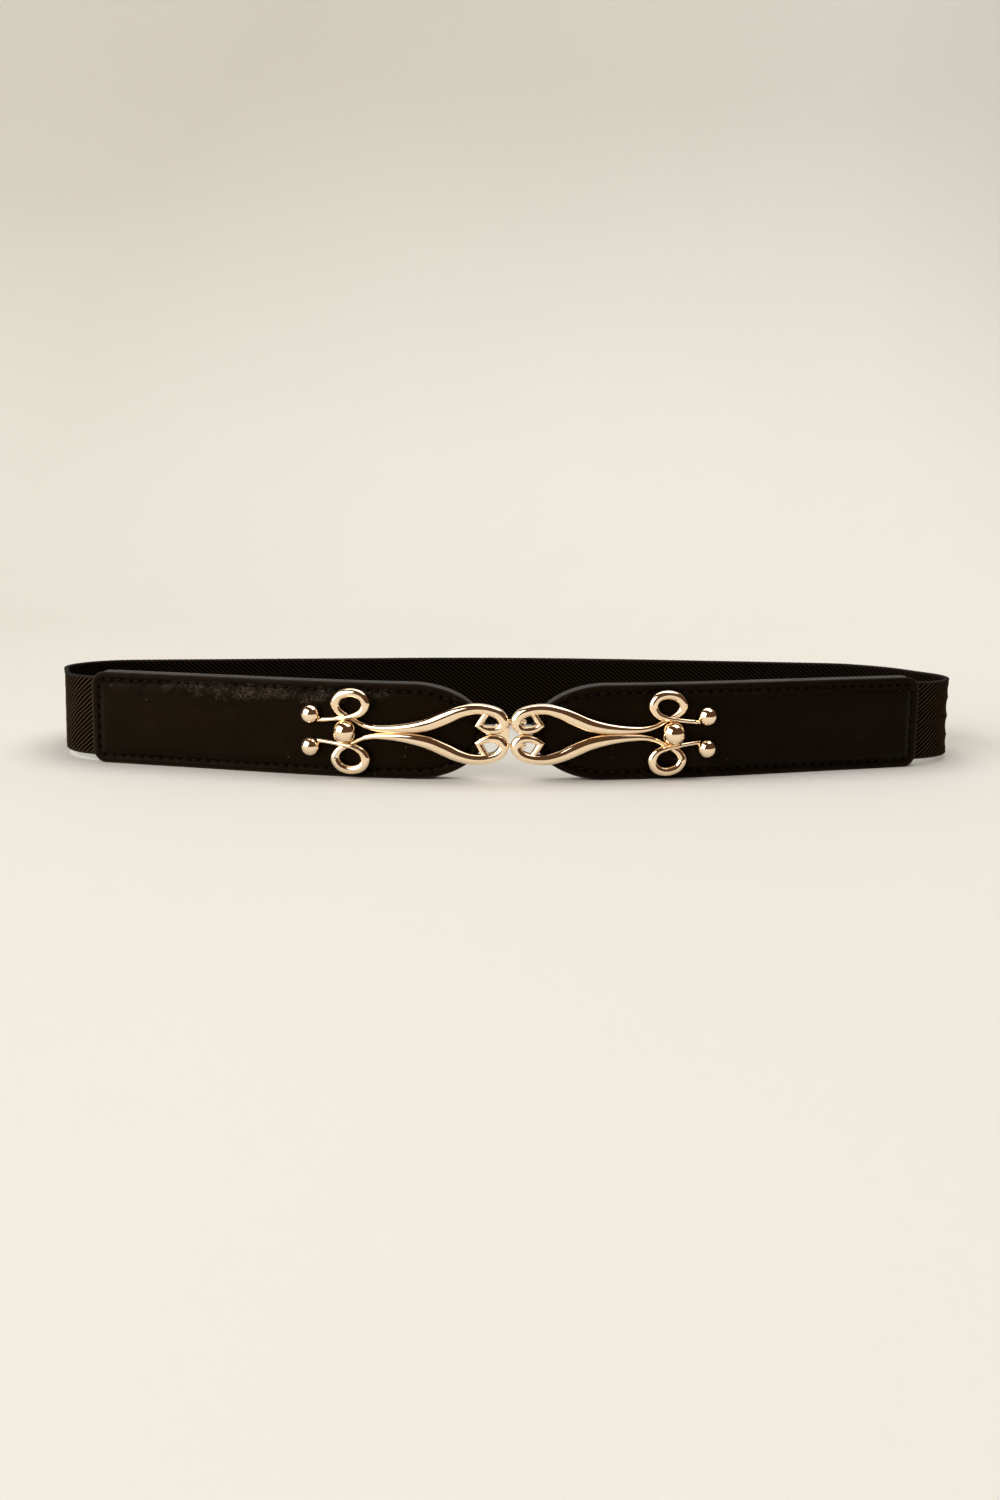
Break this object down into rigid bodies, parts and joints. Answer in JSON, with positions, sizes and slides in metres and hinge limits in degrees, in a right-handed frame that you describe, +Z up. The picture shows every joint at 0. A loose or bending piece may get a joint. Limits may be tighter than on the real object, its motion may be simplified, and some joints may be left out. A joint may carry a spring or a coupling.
{
  "type": "elastic stretch belt",
  "caption": "Fastened stretch belt: an elastic band with leather tabs that carry a scrolled interlocking buckle, standing on its edge.",
  "frame": {"origin": "centre of the belt's box in plan, on the surface that it stands on", "axes": "+X along the belt's front towards the right buckle half as seen from the front, +Y from the buckle to the back of the waist, +Z up"},
  "size_m": [0.3072, 0.095, 0.03],
  "materials": {
    "elastic": "matt twill-woven elastic",
    "leather": "satin, fine grained",
    "buckle_gold": "mirror polished, light gold plated"
  },
  "bodies": {
    "root": {"elastic_band": "elastic", "left_front_leather": "leather", "left_back_leather": "leather", "right_front_leather": "leather", "right_back_leather": "leather", "left_buckle_half": "buckle_gold", "right_buckle_half": "buckle_gold"}
  },
  "joints": []
}
